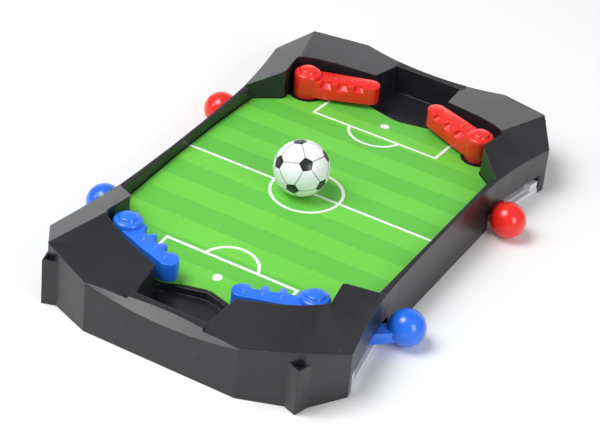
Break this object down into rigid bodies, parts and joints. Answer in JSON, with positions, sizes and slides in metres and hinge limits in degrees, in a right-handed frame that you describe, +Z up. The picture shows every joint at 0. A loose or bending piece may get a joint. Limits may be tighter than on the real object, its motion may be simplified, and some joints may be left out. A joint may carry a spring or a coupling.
{
  "type": "tabletop flipper football game",
  "caption": "Tabletop flipper football: black frame, green domed pitch, red and blue sprung flippers worked by side levers, goal pocket at each end and a small ball.",
  "frame": {"origin": "centre of the underside, on the surface the game stands on", "axes": "+Z up, +Y from the blue end to the red end, +X to the right"},
  "size_m": [0.1992, 0.2876, 0.052],
  "materials": {
    "frame_plastic": "satin",
    "pitch_print": "printed, satin",
    "ball_plastic": "gloss white with black patches",
    "cover_plastic": "satin white",
    "blue_plastic": "gloss",
    "red_plastic": "gloss",
    "spring_steel": "bright",
    "screw_steel": "bright",
    "washer_steel": "bright"
  },
  "bodies": {
    "table": {"frame": "frame_plastic", "pitch_sheet": "pitch_print", "cover_blue": "cover_plastic", "cover_red": "cover_plastic", "cover_screws": "screw_steel", "spring_blue_left": "spring_steel", "spring_blue_right": "spring_steel", "spring_red_left": "spring_steel", "spring_red_right": "spring_steel"},
    "ball": {"ball": "ball_plastic"},
    "paddle_blue_left": {"flipper_blue_left": "blue_plastic", "lever_blue_left": "blue_plastic", "screw_blue_left": "screw_steel", "washer_blue_left": "washer_steel"},
    "paddle_blue_right": {"flipper_blue_right": "blue_plastic", "lever_blue_right": "blue_plastic", "screw_blue_right": "screw_steel", "washer_blue_right": "washer_steel"},
    "paddle_red_left": {"flipper_red_left": "red_plastic", "lever_red_left": "red_plastic", "screw_red_left": "screw_steel", "washer_red_left": "washer_steel"},
    "paddle_red_right": {"flipper_red_right": "red_plastic", "lever_red_right": "red_plastic", "screw_red_right": "screw_steel", "washer_red_right": "washer_steel"}
  },
  "joints": [
    {"name": "ball_roll", "type": "slide", "parent": "table", "child": "ball", "axis": [0.0402, 0.9992, 0], "range_m": [-0.06, 0.119]},
    {"name": "flip_blue_left", "type": "hinge", "parent": "table", "child": "paddle_blue_left", "pos_m": [-0.0542, -0.0905, 0.011], "axis": [0, 0, 1], "range_deg": [0, 48], "stiffness_Nm_per_rad": 0.024, "springref_deg": -34.38, "deforming": ["spring_blue_left"]},
    {"name": "flip_blue_right", "type": "hinge", "parent": "table", "child": "paddle_blue_right", "pos_m": [0.0542, -0.0905, 0.011], "axis": [0, 0, -1], "range_deg": [0, 48], "stiffness_Nm_per_rad": 0.024, "springref_deg": -34.38, "deforming": ["spring_blue_right"]},
    {"name": "flip_red_left", "type": "hinge", "parent": "table", "child": "paddle_red_left", "pos_m": [-0.0542, 0.0905, 0.011], "axis": [0, 0, -1], "range_deg": [0, 48], "stiffness_Nm_per_rad": 0.024, "springref_deg": -34.38, "deforming": ["spring_red_left"]},
    {"name": "flip_red_right", "type": "hinge", "parent": "table", "child": "paddle_red_right", "pos_m": [0.0542, 0.0905, 0.011], "axis": [0, 0, 1], "range_deg": [0, 48], "stiffness_Nm_per_rad": 0.024, "springref_deg": -34.38, "deforming": ["spring_red_right"]}
  ]
}
